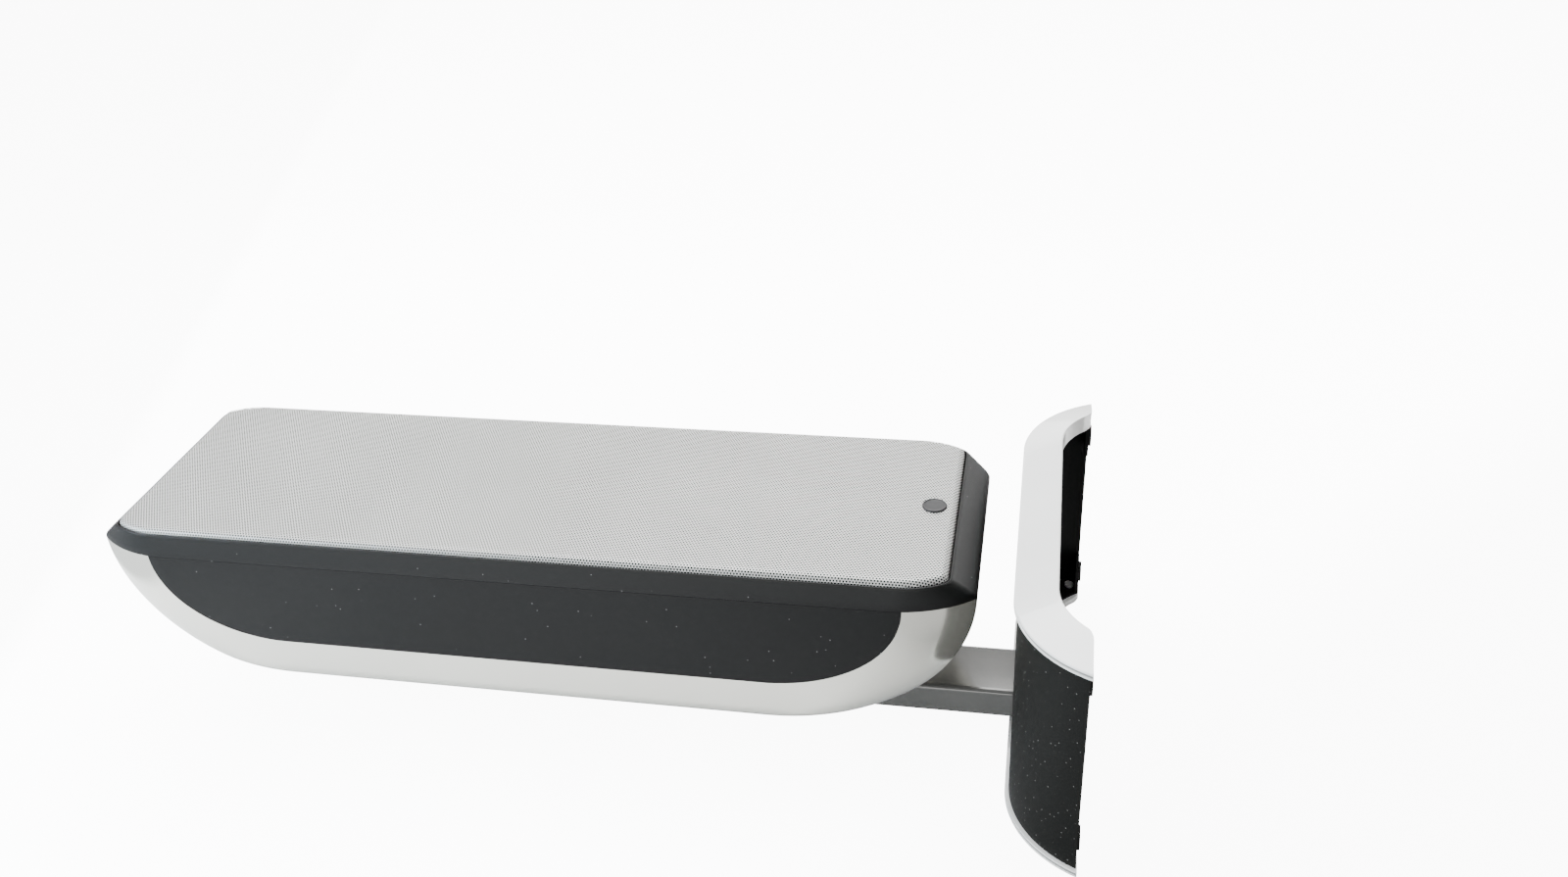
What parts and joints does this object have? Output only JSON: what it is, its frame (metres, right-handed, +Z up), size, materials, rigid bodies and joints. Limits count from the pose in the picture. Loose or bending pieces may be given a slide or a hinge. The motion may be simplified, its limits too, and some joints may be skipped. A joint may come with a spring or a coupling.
{
  "type": "loudspeaker with table stand",
  "caption": "Slim loudspeaker with a perforated silver front and a boat-shaped back, on a flat arm with an arched table foot.",
  "frame": {"origin": "middle of the surface that the stand lies on, under the middle of the whole length", "axes": "lying on its back as pictured: +X along the cabinet to the foot, +Y across it, +Z up out of the grille. Turn +X down to stand it on its foot"},
  "size_m": [0.7936, 0.374, 0.1945],
  "materials": {
    "shell": "champagne metallic lacquer, glossy",
    "panel": "black satin with a fine grain",
    "bezel": "black satin with a fine grain",
    "grille": "silver, perforated all over",
    "badge": "plain dark disc",
    "pegs": "moulded black",
    "rubber": "soft black rubber",
    "black_screw": "black zinc",
    "steel": "plain zinc-plated steel",
    "basket": "black powder coat",
    "ferrite": "dark fired ferrite",
    "cone": "black pressed cone",
    "cap": "black moulded cap",
    "copper": "lacquered copper wire",
    "spider": "resin-stiffened cloth",
    "dome": "coated black silk",
    "faceplate": "black satin",
    "board": "green laminate",
    "film": "yellow film wrap",
    "nylon": "natural nylon",
    "cup": "black moulded",
    "brass": "bright plated brass",
    "red": "red moulded grip",
    "black_knob": "black moulded grip",
    "bracket": "black powder coat",
    "arm": "glossy grey-silver lacquer",
    "plug": "sawn aluminium",
    "arch": "black speckled texture paint",
    "trim": "bright satin silver"
  },
  "bodies": {
    "cabinet": {"rear_shell": "shell", "side_panel_left": "panel", "side_panel_right": "panel", "front_baffle": "bezel", "baffle_screws": "black_screw", "grille_sockets": "rubber", "woofer_gaskets": "rubber", "woofer_baskets": "basket", "woofer_front_plates": "steel", "woofer_magnets": "ferrite", "woofer_yokes": "steel", "woofer_screws": "black_screw", "tweeter_faceplate": "faceplate", "tweeter_dome": "dome", "tweeter_motor": "steel", "tweeter_screws": "black_screw", "crossover_board": "board", "crossover_coils": "copper", "crossover_capacitors": "film", "crossover_standoffs": "nylon", "terminal_cup": "cup", "terminal_screws": "black_screw", "terminal_studs": "brass", "terminal_lock_nuts": "steel", "stand_bracket": "bracket", "bracket_screws": "steel", "arm_tube": "arm", "arm_cap": "cup", "arm_plug": "plug", "arm_inserts": "steel", "arm_screws": "steel", "foot_arch": "arch", "foot_front_trim": "trim", "foot_rear_trim": "trim", "trim_screws": "steel", "foot_bolts": "steel", "foot_pads": "rubber", "upper_surround": "rubber", "upper_spider": "spider", "lower_surround": "rubber", "lower_spider": "spider"},
    "grille_frame": {"grille": "grille", "grille_badge": "badge", "grille_pegs": "pegs"},
    "upper_diaphragm": {"upper_cone": "cone", "upper_dust_cap": "cap", "upper_voice_coil": "copper"},
    "lower_diaphragm": {"lower_cone": "cone", "lower_dust_cap": "cap", "lower_voice_coil": "copper"},
    "positive_clamp": {"positive_collar": "brass"},
    "positive_nut": {"positive_knob": "red"},
    "negative_clamp": {"negative_collar": "brass"},
    "negative_nut": {"negative_knob": "black_knob"}
  },
  "joints": [
    {"name": "grille_pull", "type": "slide", "parent": "cabinet", "child": "grille_frame", "axis": [0, 0, 1], "range_m": [0, 0.05]},
    {"name": "upper_cone_travel", "type": "slide", "parent": "cabinet", "child": "upper_diaphragm", "axis": [0, 0, 1], "range_m": [-0.004, 0.004], "stiffness_N_per_m": 1200, "deforming": ["upper_surround", "upper_spider"]},
    {"name": "lower_cone_travel", "type": "slide", "parent": "cabinet", "child": "lower_diaphragm", "axis": [0, 0, 1], "range_m": [-0.004, 0.004], "stiffness_N_per_m": 1200, "deforming": ["lower_surround", "lower_spider"]},
    {"name": "positive_collar_slide", "type": "slide", "parent": "cabinet", "child": "positive_clamp", "axis": [0, 0, -1], "range_m": [0, 0.003]},
    {"name": "positive_nut_turn", "type": "hinge", "parent": "positive_clamp", "child": "positive_nut", "pos_m": [-0.20975, 0, 0.068], "axis": [0, 0, -1], "range_deg": [0, 1080]},
    {"name": "negative_collar_slide", "type": "slide", "parent": "cabinet", "child": "negative_clamp", "axis": [0, 0, -1], "range_m": [0, 0.003]},
    {"name": "negative_nut_turn", "type": "hinge", "parent": "negative_clamp", "child": "negative_nut", "pos_m": [-0.17175, 0, 0.068], "axis": [0, 0, -1], "range_deg": [0, 1080]}
  ],
  "couplings": [
    {"joint": "positive_nut_turn", "follows": "positive_collar_slide", "rad_per_m": 6283},
    {"joint": "negative_nut_turn", "follows": "negative_collar_slide", "rad_per_m": 6283}
  ]
}
